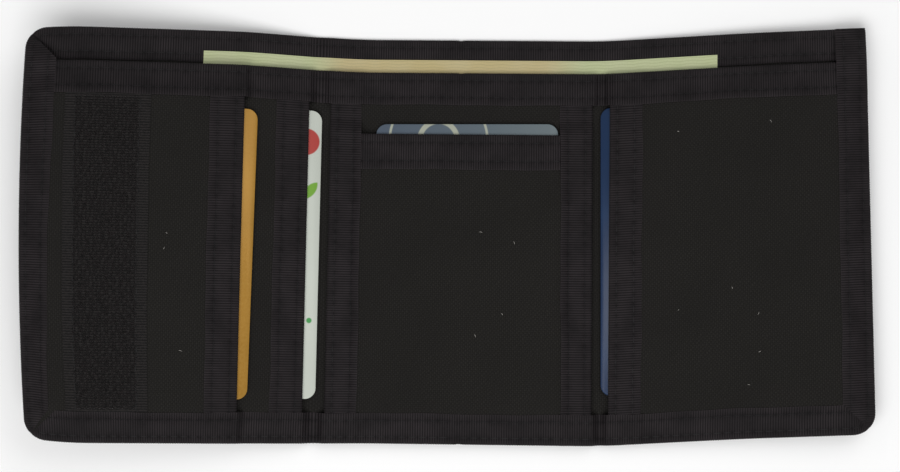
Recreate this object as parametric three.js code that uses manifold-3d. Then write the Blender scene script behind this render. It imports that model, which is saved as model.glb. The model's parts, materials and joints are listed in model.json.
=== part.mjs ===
// Trifold wallet in woven nylon, lying open on its back, with four cards and one banknote in it.
//
// Everything is drawn flat first: x = 0 is the middle of the middle panel, y = 0 the bottom edge and
// z = 0 the underside of the binding tape. The two wings are then turned up a little about their fold
// lines, and the whole wallet is moved so that its origin is at the bottom centre of its box.
// +X runs to the right wing, +Y to the open edge of the banknote pocket, +Z up. Millimetres.
import * as THREE from "three";
import { mergeVertices } from "three/addons/utils/BufferGeometryUtils.js";
import Module from "manifold-3d";

const wasm = await Module();
wasm.setup();

// Outline
const COVER_HEIGHT = 119.7; // outer cover, bottom edge to top edge
const DIVIDER_HEIGHT = 109.9; // front wall of the banknote pocket, which is lower than the cover
const MIDDLE_WIDTH = 78.7;
const LEFT_GUTTER = 5.4; // soft strip between the middle panel and the left wing
const RIGHT_GUTTER = 4.7;
const LEFT_WIDTH = 82;
const RIGHT_WIDTH = 76.8;
const CORNERS = {
  left: { top: 5, bottom: 6 },
  right: { top: 0, bottom: 6.5 },
};

// Materials' thicknesses and the room between them
const FABRIC = 0.35;
const TAPE = 0.25;
const HOOKS = 0.75;
const LOOPS = 0.5;
const SEWN_GAP = 0.05; // between layers that are sewn together
const SLIDING_GAP = 0.1; // on each side of a card or the banknote
const DIPPING_GAP = 0.45; // under a side card, whose end dips as the wing is turned up
const END_GAP = 0.1; // between the ends of two pieces that meet edge to edge

// Tapes
const BINDING_WIDTH = 9.3; // round the outside of the wallet
const DIVIDER_TAPE_WIDTH = 9.5;
const CENTRE_SIDE_TAPE = 9.5; // down both free edges of the centre panel
const CENTRE_POCKET_TAPE = 10.4;
const POCKET_TAPE = 9.8; // down the mouths of the side pockets
const CENTRE_POCKET_HEIGHT = 91.7;
const OUTER_POCKET_SETBACK = 19.3; // from the inner pocket's mouth to the outer pocket's mouth

// Hook-and-loop closure
const HOOK_WIDTH = 23.9;
const HOOK_FROM_EDGE = 12.3;

// Contents
const CARD = { width: 53.98, height: 85.6, thickness: 0.76, corner: 3.18 };
const NOTE = { width: 152, height: 82, thickness: 0.12, top: 113.7 };
const CARD_SHOWS = { gold: 4.1, white: 4.1, blue: 2.35 }; // past the mouth of its pocket
const CARD_BOTTOM = { gold: 12.7, white: 12.5, blue: 13.2 };
const CENTRE_CARD_OFFSET = 2.2; // the centre card sits a little right of the middle

// Folds: each runs down the middle of its gutter. Its line is raised above the cloth, so that the
// folded panels end up just far enough apart for what lies between them.
const CLOSED_ROOM = 0.4;
const LEFT_RISE = THREE.MathUtils.degToRad(10);
const RIGHT_RISE = THREE.MathUtils.degToRad(3);

const COLOURS = {
  fabric: { color: "#22211f", roughness: 0.85, metalness: 0 },
  tape: { color: "#252225", roughness: 0.8, metalness: 0 },
  hooks: { color: "#121112", roughness: 0.6, metalness: 0 },
  gold: { color: "#b58b3e", roughness: 0.35, metalness: 0.2 },
  white: { color: "#d2d7cd", roughness: 0.3, metalness: 0 },
  blue: { color: "#324b73", roughness: 0.3, metalness: 0 },
  grey: { color: "#5b6870", roughness: 0.3, metalness: 0 },
  note: { color: "#b5a87e", roughness: 0.9, metalness: 0 },
};

// Heights of the layers, from the underside up. low is a layer's underside, high its top.
function layer(below, thickness, gap = SEWN_GAP) {
  return { low: below + gap, high: below + gap + thickness };
}
const cover = layer(TAPE, FABRIC);
const topTape = layer(cover.high, TAPE);
const note = layer(topTape.high, NOTE.thickness, SLIDING_GAP);
const dividerBack = layer(note.high, TAPE, SLIDING_GAP);
const divider = layer(dividerBack.high, FABRIC);
const sideCard = layer(divider.high, CARD.thickness, DIPPING_GAP);
const innerMouthBack = layer(sideCard.high, TAPE, SLIDING_GAP);
const innerFront = layer(innerMouthBack.high, FABRIC);
const innerMouthFront = layer(innerFront.high, TAPE);
const goldCard = layer(innerMouthFront.high, CARD.thickness, SLIDING_GAP);
const outerMouthBack = layer(goldCard.high, TAPE, SLIDING_GAP);
const outerFront = layer(outerMouthBack.high, FABRIC);
const outerMouthFront = layer(outerFront.high, TAPE);
const hooks = layer(outerFront.high, HOOKS);
const loops = { low: cover.low - SEWN_GAP - LOOPS, high: cover.low - SEWN_GAP };
const centreBack = layer(divider.high, TAPE);
const centrePanel = layer(centreBack.high, FABRIC);
const centreTape = layer(centrePanel.high, TAPE);
const centreCard = layer(centreTape.high, CARD.thickness, SLIDING_GAP);
const centreMouthBack = layer(centreCard.high, TAPE, SLIDING_GAP);
const centreFront = layer(centreMouthBack.high, FABRIC);
const centreMouthFront = layer(centreFront.high, TAPE);

// Fold lines. The right wing folds in first and lies on the middle panel; the left wing folds over it.
const coverMiddle = (cover.low + cover.high) / 2;
const middleStack = centreMouthFront.high - coverMiddle;
const rightStack = innerMouthFront.high - coverMiddle;
const leftStack = hooks.high - coverMiddle;
const rightClosed = middleStack + rightStack + CLOSED_ROOM;
const leftClosed = rightClosed + (coverMiddle - loops.low) + leftStack + CLOSED_ROOM;
const left = wingSide(-1, LEFT_GUTTER, LEFT_WIDTH, leftClosed);
const right = wingSide(1, RIGHT_GUTTER, RIGHT_WIDTH, rightClosed);

// Where a wing's fold line and edges are. sign is -1 on the left and +1 on the right.
function wingSide(sign, gutter, width, closed) {
  return {
    sign,
    fold: sign * (MIDDLE_WIDTH / 2 + gutter / 2),
    foldHeight: coverMiddle + closed / 2,
    mouth: sign * (MIDDLE_WIDTH / 2 + gutter), // edge of the wing's pockets, beside the gutter
    edge: sign * (MIDDLE_WIDTH / 2 + gutter + width), // outer edge of the wing
  };
}

// ---- shapes ----

function rectangle(xA, xB, yA, yB, radii = {}) {
  const [x0, x1] = [Math.min(xA, xB), Math.max(xA, xB)];
  const [y0, y1] = [Math.min(yA, yB), Math.max(yA, yB)];
  const { topLeft = 0, topRight = 0, bottomLeft = 0, bottomRight = 0 } = radii;
  const quarter = Math.PI / 2;
  const shape = new THREE.Shape();
  shape.moveTo(x0 + bottomLeft, y0);
  shape.lineTo(x1 - bottomRight, y0);
  if (bottomRight) {
    shape.absarc(x1 - bottomRight, y0 + bottomRight, bottomRight, -quarter, 0);
  }
  shape.lineTo(x1, y1 - topRight);
  if (topRight) shape.absarc(x1 - topRight, y1 - topRight, topRight, 0, quarter);
  shape.lineTo(x0 + topLeft, y1);
  if (topLeft) shape.absarc(x0 + topLeft, y1 - topLeft, topLeft, quarter, 2 * quarter);
  shape.lineTo(x0, y0 + bottomLeft);
  if (bottomLeft) {
    shape.absarc(x0 + bottomLeft, y0 + bottomLeft, bottomLeft, 2 * quarter, 3 * quarter);
  }
  return shape;
}

function polygon(points) {
  return new THREE.Shape(points.map(([x, y]) => new THREE.Vector2(x, y)));
}

function slab(shape, low, high) {
  const options = { depth: high - low, bevelEnabled: false, curveSegments: 6 };
  return new THREE.ExtrudeGeometry(shape, options).translate(0, 0, low);
}

// A wing's outline, inset from its three outer edges and cut off at x = hinge.
function wingShape(side, inset, hinge, top = COVER_HEIGHT) {
  const corners = CORNERS[side.sign < 0 ? "left" : "right"];
  const reachesTop = top === COVER_HEIGHT;
  const topRadius = reachesTop ? Math.max(corners.top - inset, 0) : 0;
  const bottomRadius = Math.max(corners.bottom - inset, 0);
  const radii =
    side.sign < 0
      ? { topLeft: topRadius, bottomLeft: bottomRadius }
      : { topRight: topRadius, bottomRight: bottomRadius };
  return rectangle(hinge, side.edge - side.sign * inset, inset, top - inset, radii);
}

// ---- solids ----

function solid(geometry) {
  const bare = geometry.clone();
  bare.deleteAttribute("normal");
  bare.deleteAttribute("uv");
  const merged = mergeVertices(bare, 1e-4);
  return new wasm.Manifold(
    new wasm.Mesh({
      numProp: 3,
      vertProperties: merged.attributes.position.array,
      triVerts: new Uint32Array(merged.index.array),
    }),
  );
}

function geometryOf(manifold) {
  const { vertProperties, triVerts } = manifold.getMesh();
  const geometry = new THREE.BufferGeometry();
  geometry.setAttribute("position", new THREE.BufferAttribute(vertProperties, 3));
  geometry.setIndex(new THREE.BufferAttribute(triVerts, 1));
  const flat = geometry.toNonIndexed();
  flat.computeVertexNormals();
  return flat;
}

// A straight tape folded in half over an edge. fold names the side that the folded edge is on.
function foldedTape({ x, y, fold, low, high }) {
  const past = 1;
  const block = slab(rectangle(x[0], x[1], y[0], y[1]), low, high);
  const room = {
    x: [Math.min(...x) - past, Math.max(...x) + past],
    y: [Math.min(...y) - past, Math.max(...y) + past],
  };
  if (fold === "left") room.x[0] = Math.min(...x) + TAPE;
  if (fold === "right") room.x[1] = Math.max(...x) - TAPE;
  if (fold === "bottom") room.y[0] = Math.min(...y) + TAPE;
  if (fold === "top") room.y[1] = Math.max(...y) - TAPE;
  const inside = slab(rectangle(...room.x, ...room.y), low + TAPE, high - TAPE);
  return geometryOf(solid(block).subtract(solid(inside)));
}

// The part of a wing's outer binding that lies within the shape keep.
function wingBinding(side, keep, low, high) {
  const past = 1;
  const beyond = side.fold - side.sign * past;
  const block = solid(slab(wingShape(side, 0, beyond), low, high));
  const room = solid(slab(wingShape(side, TAPE, beyond), low + TAPE, high - TAPE));
  const bare = solid(slab(wingShape(side, BINDING_WIDTH, beyond), low - past, high + past));
  const kept = solid(slab(keep, low - past, high + past));
  return geometryOf(block.subtract(room).subtract(bare).intersect(kept));
}

// ---- nodes ----

function piece(parent, name, geometry, look) {
  const mesh = new THREE.Mesh(geometry, new THREE.MeshStandardMaterial(COLOURS[look]));
  mesh.name = name;
  parent.add(mesh);
}

function sheet(parent, name, shape, { low, high }, look = "fabric") {
  piece(parent, name, slab(shape, low, high), look);
}

const outerMouth = left.mouth - OUTER_POCKET_SETBACK;
const hookReach = left.fold - (left.edge + HOOK_FROM_EDGE); // far side of the hooks, from the fold

// Upright run between the bottom binding and the divider tape, where every pocket is sewn.
const POCKET_LOW = BINDING_WIDTH + END_GAP;
const POCKET_HIGH = DIVIDER_HEIGHT - DIVIDER_TAPE_WIDTH - END_GAP;

function uprightTape(parent, name, x, fold, low, high) {
  const y = [POCKET_LOW, POCKET_HIGH];
  piece(parent, name, foldedTape({ x, y, fold, low, high }), "tape");
}

// Cover, divider and their tapes between the two fold lines.
function middleLayers(parent) {
  const x = [left.fold + END_GAP / 2, right.fold - END_GAP / 2];
  const inset = TAPE + SEWN_GAP;
  sheet(parent, "middle_cover", rectangle(...x, inset, COVER_HEIGHT - inset), cover);
  sheet(parent, "middle_divider", rectangle(...x, inset, DIVIDER_HEIGHT - inset), divider);
  const tapes = {
    divider_tape: {
      y: [DIVIDER_HEIGHT - DIVIDER_TAPE_WIDTH, DIVIDER_HEIGHT],
      fold: "top",
      low: dividerBack.low,
      high: centreTape.high,
    },
    top_binding: {
      y: [COVER_HEIGHT - BINDING_WIDTH, COVER_HEIGHT],
      fold: "top",
      low: 0,
      high: topTape.high,
    },
    bottom_binding: {
      y: [0, BINDING_WIDTH],
      fold: "bottom",
      low: 0,
      high: centreMouthFront.high,
    },
  };
  for (const [name, tape] of Object.entries(tapes)) {
    piece(parent, `middle_${name}`, foldedTape({ x, ...tape }), "tape");
  }
}

// The centre panel, whose two side edges are free, and the card pocket on it.
function centrePocket(parent) {
  const half = MIDDLE_WIDTH / 2;
  const inset = TAPE + SEWN_GAP;
  const edges = [-half + inset, half - inset];
  const panel = rectangle(...edges, inset, DIVIDER_HEIGHT - inset);
  sheet(parent, "centre_panel", panel, centrePanel);
  const front = rectangle(...edges, inset, CENTRE_POCKET_HEIGHT - inset);
  sheet(parent, "centre_pocket_front", front, centreFront);
  const sideTape = [centreBack.low, centreMouthFront.high];
  uprightTape(parent, "centre_left_tape", [-half, -half + CENTRE_SIDE_TAPE], "left", ...sideTape);
  uprightTape(parent, "centre_right_tape", [half - CENTRE_SIDE_TAPE, half], "right", ...sideTape);
  const mouthEnd = half - CENTRE_SIDE_TAPE - END_GAP;
  const mouth = {
    x: [-mouthEnd, mouthEnd],
    y: [CENTRE_POCKET_HEIGHT - CENTRE_POCKET_TAPE, CENTRE_POCKET_HEIGHT],
    fold: "top",
    low: centreMouthBack.low,
    high: centreMouthFront.high,
  };
  piece(parent, "centre_pocket_tape", foldedTape(mouth), "tape");
}

// Cover, divider, divider tape and the outer binding of a wing whose top layer is stackTop.
function wing(parent, prefix, side, stackTop) {
  const inset = TAPE + SEWN_GAP;
  const hinge = side.fold + (side.sign * END_GAP) / 2;
  const past = 1;
  sheet(parent, `${prefix}_cover`, wingShape(side, inset, hinge), cover);
  sheet(parent, `${prefix}_divider`, wingShape(side, inset, hinge, DIVIDER_HEIGHT), divider);
  const dividerTape = {
    x: [hinge, side.edge - side.sign * (BINDING_WIDTH + END_GAP)],
    y: [DIVIDER_HEIGHT - DIVIDER_TAPE_WIDTH, DIVIDER_HEIGHT],
    fold: "top",
    low: dividerBack.low,
    high: stackTop,
  };
  piece(parent, `${prefix}_divider_tape`, foldedTape(dividerTape), "tape");

  const topLow = COVER_HEIGHT - BINDING_WIDTH;
  const outside = side.edge + side.sign * past;
  const inside = side.edge - side.sign * (BINDING_WIDTH + past);
  const topStrip = rectangle(hinge, outside, topLow, COVER_HEIGHT + past);
  const topBinding = wingBinding(side, topStrip, 0, topTape.high);
  piece(parent, `${prefix}_top_binding`, topBinding, "tape");

  const mitre = END_GAP / Math.SQRT2; // the bottom corner is mitred at 45 degrees
  const sideStrip = polygon([
    [outside, -past + mitre],
    [outside, topLow - END_GAP],
    [inside, topLow - END_GAP],
    [inside, BINDING_WIDTH + past + mitre],
  ]);
  piece(parent, `${prefix}_side_binding`, wingBinding(side, sideStrip, 0, stackTop), "tape");
  const bottomStrip = polygon([
    [hinge, -past - mitre],
    [outside, -past - mitre],
    [inside, BINDING_WIDTH + past - mitre],
    [hinge, BINDING_WIDTH + past - mitre],
  ]);
  piece(parent, `${prefix}_bottom_binding`, wingBinding(side, bottomStrip, 0, stackTop), "tape");
}

// A card pocket on a wing: its front sheet and the tape down its mouth.
function cardPocket(parent, names, side, mouth, back, front, tape) {
  const inset = TAPE + SEWN_GAP;
  const frontShape = wingShape(side, inset, mouth + side.sign * inset, DIVIDER_HEIGHT);
  sheet(parent, names.front, frontShape, front);
  const x = [mouth, mouth + side.sign * POCKET_TAPE];
  const fold = side.sign < 0 ? "right" : "left";
  uprightTape(parent, names.tape, x, fold, back.low, tape.high);
}

function leftWing(parent) {
  wing(parent, "left", left, outerMouthFront.high);
  const inner = { front: "inner_pocket_front", tape: "inner_pocket_tape" };
  cardPocket(parent, inner, left, left.mouth, innerMouthBack, innerFront, innerMouthFront);
  const outer = { front: "outer_pocket_front", tape: "outer_pocket_tape" };
  cardPocket(parent, outer, left, outerMouth, outerMouthBack, outerFront, outerMouthFront);
  const strip = [left.edge + HOOK_FROM_EDGE, left.edge + HOOK_FROM_EDGE + HOOK_WIDTH];
  sheet(parent, "hook_strip", rectangle(...strip, POCKET_LOW, POCKET_HIGH), hooks, "hooks");
}

function rightWing(parent) {
  wing(parent, "right", right, innerMouthFront.high);
  const names = { front: "right_pocket_front", tape: "right_pocket_tape" };
  cardPocket(parent, names, right, right.mouth, innerMouthBack, innerFront, innerMouthFront);
  const loopFromFold = right.fold - left.fold - hookReach; // they meet when the wallet is closed
  const strip = [right.fold + loopFromFold, right.fold + loopFromFold + HOOK_WIDTH];
  sheet(parent, "loop_strip", rectangle(...strip, POCKET_LOW, POCKET_HIGH), loops, "hooks");
}

function card(parent, name, x, bottom, room, look) {
  const r = CARD.corner;
  const radii = { topLeft: r, topRight: r, bottomLeft: r, bottomRight: r };
  const shape = rectangle(x, x + CARD.width, bottom, bottom + CARD.height, radii);
  sheet(parent, name, shape, room, look);
}

// The banknote lies in the long pocket across both folds, so it is drawn in three lengths.
function noteLength(parent, name, xLow, xHigh) {
  sheet(parent, name, rectangle(xLow, xHigh, NOTE.top - NOTE.height, NOTE.top), note, "note");
}

// A group whose contents are drawn flat and then turned up by rise about the side's fold line.
function turnedUp(parent, side, rise) {
  const hinge = new THREE.Group();
  hinge.position.set(side.fold, 0, side.foldHeight);
  hinge.rotation.y = -side.sign * rise;
  const contents = new THREE.Group();
  contents.position.set(-side.fold, 0, -side.foldHeight);
  hinge.add(contents);
  parent.add(hinge);
  return contents;
}

const wallet = new THREE.Group();
const halfGap = END_GAP / 2;

middleLayers(wallet);
centrePocket(wallet);
const centreCardX = CENTRE_CARD_OFFSET - CARD.width / 2;
card(wallet, "centre_card", centreCardX, POCKET_LOW, centreCard, "grey");
noteLength(wallet, "note_middle", left.fold + halfGap, right.fold - halfGap);

const leftGroup = turnedUp(wallet, left, LEFT_RISE);
leftWing(leftGroup);
noteLength(leftGroup, "note_left", -NOTE.width / 2, left.fold - halfGap);
const whiteX = left.mouth + CARD_SHOWS.white - CARD.width;
card(leftGroup, "white_card", whiteX, CARD_BOTTOM.white, sideCard, "white");
const goldX = outerMouth + CARD_SHOWS.gold - CARD.width;
card(leftGroup, "gold_card", goldX, CARD_BOTTOM.gold, goldCard, "gold");

const rightGroup = turnedUp(wallet, right, RIGHT_RISE);
rightWing(rightGroup);
noteLength(rightGroup, "note_right", right.fold + halfGap, NOTE.width / 2);
const blueX = right.mouth - CARD_SHOWS.blue;
card(rightGroup, "blue_card", blueX, CARD_BOTTOM.blue, sideCard, "blue");

// Put the origin at the bottom centre of the wallet's box.
const box = new THREE.Box3().setFromObject(wallet, true);
const centre = box.getCenter(new THREE.Vector3());
wallet.position.set(-centre.x, -centre.y, -box.min.z);

export default wallet;
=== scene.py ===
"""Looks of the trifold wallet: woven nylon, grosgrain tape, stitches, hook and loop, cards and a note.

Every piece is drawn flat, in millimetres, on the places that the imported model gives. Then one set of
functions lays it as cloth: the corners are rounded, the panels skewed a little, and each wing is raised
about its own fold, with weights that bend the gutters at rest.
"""

import json
import math

import bpy
import numpy as np
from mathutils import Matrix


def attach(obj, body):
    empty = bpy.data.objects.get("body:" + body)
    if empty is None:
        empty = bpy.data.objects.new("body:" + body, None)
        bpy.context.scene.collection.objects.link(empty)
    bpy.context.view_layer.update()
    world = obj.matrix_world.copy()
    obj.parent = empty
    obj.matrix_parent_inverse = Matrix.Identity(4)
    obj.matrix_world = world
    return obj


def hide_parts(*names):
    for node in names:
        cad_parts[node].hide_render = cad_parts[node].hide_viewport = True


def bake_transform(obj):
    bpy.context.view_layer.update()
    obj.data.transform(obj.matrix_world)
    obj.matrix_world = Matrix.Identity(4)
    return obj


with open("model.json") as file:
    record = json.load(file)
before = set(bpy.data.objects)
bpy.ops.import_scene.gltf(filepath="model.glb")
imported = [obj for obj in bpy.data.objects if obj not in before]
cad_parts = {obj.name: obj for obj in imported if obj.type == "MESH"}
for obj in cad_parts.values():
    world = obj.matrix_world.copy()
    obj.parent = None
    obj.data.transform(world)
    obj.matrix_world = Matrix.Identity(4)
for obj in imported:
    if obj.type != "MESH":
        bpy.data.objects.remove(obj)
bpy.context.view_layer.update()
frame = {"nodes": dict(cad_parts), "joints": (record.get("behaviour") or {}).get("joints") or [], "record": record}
MM = 0.001
RANDOM = np.random.default_rng(7)

# ---------------- camera, light and floor

CAMERA_PLACE = (0, 0.0006, 0.6)
LENS = 80.4
WORLD_LIGHT = 0.36
LIGHTS = {  # place, size and power
    "window": ((-0.2, -0.5, 0.95), (1.1, 0.7), 8.8),
    "fill": ((0.5, 0.6, 0.9), (0.9, 0.9), 3.8),
}
FLOOR = -0.15 * MM  # just under the wallet, which dips a little at the left fold
FLOOR_SIZE = 4
FLOOR_WHITE = (0.93, 0.93, 0.93)


def placed(name, data, location=(0, 0, 0)):
    made = bpy.data.objects.new(name, data)
    made.location = location
    bpy.context.scene.collection.objects.link(made)
    return made


def make_camera():
    data = bpy.data.cameras.new("camera")
    data.lens = LENS
    bpy.context.scene.camera = placed("camera", data, CAMERA_PLACE)


def area_light(name, place, size, power):
    """A soft rectangular light that faces the middle of the wallet."""
    data = bpy.data.lights.new(name, "AREA")
    data.shape = "RECTANGLE"
    data.size, data.size_y = size
    data.energy = power
    light = placed(name, data, place)
    aim = -light.location.normalized()
    light.rotation_mode = "QUATERNION"
    light.rotation_quaternion = aim.to_track_quat("-Z", "Y")


def make_studio():
    world = bpy.data.worlds.new("studio")
    bpy.context.scene.world = world
    world.use_nodes = True
    background = world.node_tree.nodes["Background"]
    background.inputs["Color"].default_value = (1, 1, 1, 1)
    background.inputs["Strength"].default_value = WORLD_LIGHT
    for name, (place, size, power) in LIGHTS.items():
        area_light(name, place, size, power)
    bpy.context.scene.view_settings.view_transform = "Standard"
    bpy.ops.mesh.primitive_plane_add(size=FLOOR_SIZE, location=(0, 0, FLOOR))
    floor = bpy.context.object
    floor.name = "floor"
    floor.data.materials.append(plain_material("floor_white", FLOOR_WHITE, 0.9))


# ---------------- places, flat and in millimetres

LEFT_BODIES = {"left_wing", "gold_card", "white_card", "note_left"}
RIGHT_BODIES = {"right_wing", "blue_card", "note_right"}
BODY_OF = {
    node: body for body, nodes in frame["record"]["behaviour"]["bodies"].items() for node in nodes
}


def smooth(t):
    t = np.clip(t, 0, 1)
    return t * t * (3 - 2 * t)


def turned(points, pivot, angle):
    """points turned by angle about the line through pivot (x, z) that runs along y."""
    x = points[:, 0] - pivot[0]
    z = points[:, 2] - pivot[1]
    c, s = np.cos(angle), np.sin(angle)
    return np.stack([pivot[0] + c * x + s * z, points[:, 1], pivot[1] - s * x + c * z], 1)


def joint(name):
    return next(j for j in frame["joints"] if j["name"] == name)


BEND_STEPS = 12  # rounds that settle where a point of a bent gutter comes to rest


class Fold:
    """One soft fold: its axis, how far its wing is raised, and the strip of cloth that bends."""

    def __init__(self, name, side):
        found = joint(name)
        self.side = side  # -1 for the left wing, +1 for the right
        self.pivot = (found["pos_m"][0] / MM, found["pos_m"][2] / MM)
        self.rise = -side * math.radians(found["range_deg"][1])

    def raised(self, points, share=1.0):
        return turned(points, self.pivot, share * self.rise)

    def lowered(self, points):
        return self.raised(points, -1.0)

    def set_zone(self, inner_x, outer_x, height, middle_y, lean):
        """The bend starts at inner_x on the middle panel and ends at outer_x on the wing."""
        self.start = np.array([inner_x, middle_y, height])
        outer = self.raised(np.array([[outer_x, middle_y, height]]))[0]
        length = abs(outer[0] - inner_x)
        self.end = np.array([outer[0], middle_y - self.side * lean * length, outer[2]])

    def weight(self, points):
        line = self.end - self.start
        return smooth((points - self.start) @ line / (line @ line))

    def bent(self, points):
        """Flat points raised with the wing, each by the share that its place at rest gives it."""
        rest = points
        for _ in range(BEND_STEPS):
            rest = self.raised(points, self.weight(rest))
        return rest


LEFT = Fold("left_fold", -1)
RIGHT = Fold("right_fold", 1)
HALVES = (("left", LEFT), ("right", RIGHT))


def nodes_of(half, part):
    """CAD nodes that one half of a crossing part replaces. The middle one goes with the left half."""
    return [f"{half}_{part}"] + ([f"middle_{part}"] if half == "left" else [])



class Box:
    """Where a CAD node lies when the wallet is flat, in millimetres."""

    def __init__(self, node):
        points = np.array([v.co for v in frame["nodes"][node].data.vertices]) / MM
        if BODY_OF[node] in LEFT_BODIES:
            points = LEFT.lowered(points)
        if BODY_OF[node] in RIGHT_BODIES:
            points = RIGHT.lowered(points)
        self.x0, self.y0, self.z0 = points.min(0)
        self.x1, self.y1, self.z1 = points.max(0)
        self.width = self.x1 - self.x0
        self.height = self.y1 - self.y0


BOX = {node: Box(node) for node in frame["nodes"]}
LEFT_EDGE = BOX["left_side_binding"].x0
RIGHT_EDGE = BOX["right_side_binding"].x1
BOTTOM = BOX["middle_bottom_binding"].y0
COVER_TOP = BOX["middle_top_binding"].y1
DIVIDER_TOP = BOX["middle_divider_tape"].y1
LEFT_MOUTH = BOX["inner_pocket_tape"].x1
OUTER_MOUTH = BOX["outer_pocket_tape"].x1
RIGHT_MOUTH = BOX["right_pocket_tape"].x0
CENTRE_LEFT = BOX["centre_left_tape"].x0
CENTRE_RIGHT = BOX["centre_right_tape"].x1
MIDDLE_X = (CENTRE_LEFT + CENTRE_RIGHT) / 2
MIDDLE_Y = (BOTTOM + COVER_TOP) / 2
BINDING = BOX["middle_bottom_binding"].height
TAPE = 0.25  # thickness of the grosgrain
SEWN_GAP = 0.05  # between two layers that are sewn together

# ---------------- how the cloth lies

CORNERS = [  # each rounded corner: its edges, its radius, and which way it points
    (LEFT_EDGE, COVER_TOP, 6.0, -1, 1),
    (LEFT_EDGE, BOTTOM, 6.0, -1, -1),
    (RIGHT_EDGE, BOTTOM, 6.5, 1, -1),
]
EDGE_BULGE = 2.1  # of the left wing's outer edge, outwards, halfway up
BULGE_START, BULGE_RUN = 60, 67  # where it starts, left of the middle, and how far it takes to grow
# Each seam: place from the middle, slant to the right going up, rise at the top and bottom, shift.
SEAMS = np.array(
    [
        (-127, 0.004, 1.3, 1.7, 0.5),
        (-114, 0.004, 2.2, 0.1, 0.2),
        (-64, 0.028, 1.4, -1.0, 0.0),
        (-42, 0.024, 0.0, -1.4, 0.0),
        (-30, 0.017, -0.7, -1.3, 0.0),
        (30, -0.002, -1.1, -2.1, 0.0),
        (42, 0.007, -1.2, -2.2, 0.0),
        (85, 0.006, 1.1, 0.2, 0.0),
        (121, -0.026, 2.4, 1.7, 0.7),
    ]
)
SOFTENING = (-5, -2.5, 0, 2.5, 5)  # places whose mean takes the corners off the seams table


def rounded(points):
    """The square outer corners drawn in to their radius."""
    points = points.copy()
    for edge_x, edge_y, radius, side, up in CORNERS:
        centre = np.array([edge_x - side * radius, edge_y - up * radius])
        out = (points[:, :2] - centre) * (side, up)
        corner = (out > 0).all(1)
        reach = out[corner]
        share = reach.max(1) / np.hypot(reach[:, 0], reach[:, 1])
        points[corner, :2] = centre + reach * share[:, None] * (side, up)
    return points


def seam_value(x, column):
    parts = [np.interp(x - MIDDLE_X + d, SEAMS[:, 0], SEAMS[:, column]) for d in SOFTENING]
    return np.mean(parts, axis=0)


def skewed(points):
    """The panels aren't quite square: seams slant, and the wings sit higher than the middle."""
    points = points.copy()
    x = points[:, 0].copy()
    up = points[:, 1] - MIDDLE_Y
    level = up / (MIDDLE_Y - BOTTOM)
    bulge = EDGE_BULGE * np.clip((MIDDLE_X - BULGE_START - x) / BULGE_RUN, 0, 1) * (1 - level**2)
    points[:, 0] += seam_value(x, 1) * up - bulge + seam_value(x, 4)
    points[:, 1] += seam_value(x, 2) * (1 + level) / 2 + seam_value(x, 3) * (1 - level) / 2
    return points


ZONE_HEIGHT = 3.0
LEFT.set_zone(CENTRE_LEFT, LEFT_MOUTH, ZONE_HEIGHT, 0.0, SEAMS[3, 1])
RIGHT.set_zone(CENTRE_RIGHT, RIGHT_MOUTH, ZONE_HEIGHT, 0.0, SEAMS[6, 1])


def raised(points, where):
    """Flat points of a piece at rest. where is the body it rides on, or the fold that it crosses."""
    if where in (LEFT, RIGHT):
        return where.bent(points)
    if where in LEFT_BODIES:
        return LEFT.raised(points)
    if where in RIGHT_BODIES:
        return RIGHT.raised(points)
    return points


def laid(points, where):
    return raised(skewed(rounded(points)), where)


def follow(piece, where):
    """Ties a piece to the body it rides on. A piece that crosses a fold only has its place applied to its mesh."""
    if where is LEFT:
        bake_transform(piece)
    elif where is RIGHT:
        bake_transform(piece)
    else:
        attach(piece, where)


# ---------------- heights of the layers

TAPE_ROOM = TAPE + SEWN_GAP
PINCH = 0.8  # how much of the spare room between layers closes where they are sewn
KEPT_ROOM = TAPE_ROOM + SEWN_GAP  # a folded tape still has its place between two sheets
FOOT = (4.0, 10.5)  # above the bottom edge: closed below the first, open above the second
HEAD = (3.5, 10.0)  # below the divider's top edge
SIDE = (2.0, 7.2)  # from a wing's outer edge
BROW = (10.0, 18.0)  # below the cover's top edge
CENTRE_SIDE = (5.5, 11.5)  # from the centre panel's free edges


def closed(distance, span):
    """1 where the layers are sewn together, 0 where they are open. Each seam below is one such field."""
    return 1 - smooth((distance - span[0]) / (span[1] - span[0]))


def foot(x, y):
    return closed(y - BOTTOM, FOOT)


def head(x, y):
    return closed(DIVIDER_TOP - y, HEAD)


def brow(x, y):
    return closed(COVER_TOP - y, BROW)


def side(x, y):
    return closed(np.minimum(x - LEFT_EDGE, RIGHT_EDGE - x), SIDE)


def centre_edges(x, y):
    return closed(np.minimum(x - CENTRE_LEFT, CENTRE_RIGHT - x), CENTRE_SIDE)


def wave(x, y):
    """Low, broad unevenness of the cloth, from 0 to 1."""
    first = np.sin(x / 8.0 + 1.3 * np.sin(y / 15.0))
    second = np.sin(y / 12.0 + 0.9 * np.sin(x / 14.0) + 1.0)
    return 0.5 + 0.25 * (first + second)


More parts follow.
